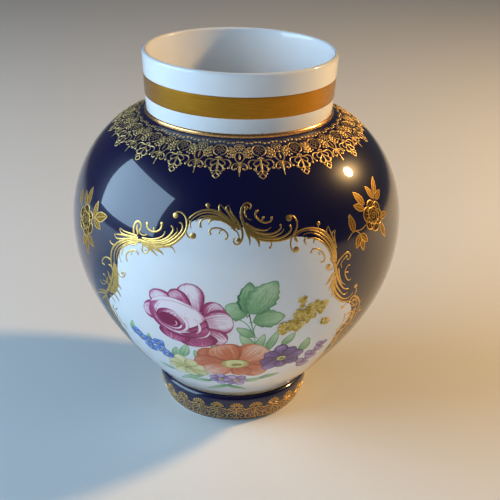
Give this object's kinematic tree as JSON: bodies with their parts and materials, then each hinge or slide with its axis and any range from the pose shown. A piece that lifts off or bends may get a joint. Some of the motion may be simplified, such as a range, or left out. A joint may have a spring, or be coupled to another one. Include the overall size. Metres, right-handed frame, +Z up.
{
  "type": "mantel vase",
  "caption": "Open jar-shaped porcelain mantel vase on a short drawn-in foot, with a straight neck, gilded band, gold lace borders and a painted flower reserve.",
  "frame": {"origin": "on the axis of the vase, at the plane its foot stands on", "axes": "+Z up along the axis the vase was turned about; -Y towards the middle of the painted reserve"},
  "size_m": [0.1538, 0.1538, 0.175],
  "materials": {
    "glazed_porcelain": "glossy transparent glaze over cobalt and white porcelain, with burnished and brushed gilding"
  },
  "bodies": {
    "root": {"porcelain_vase": "glazed_porcelain"}
  },
  "joints": []
}
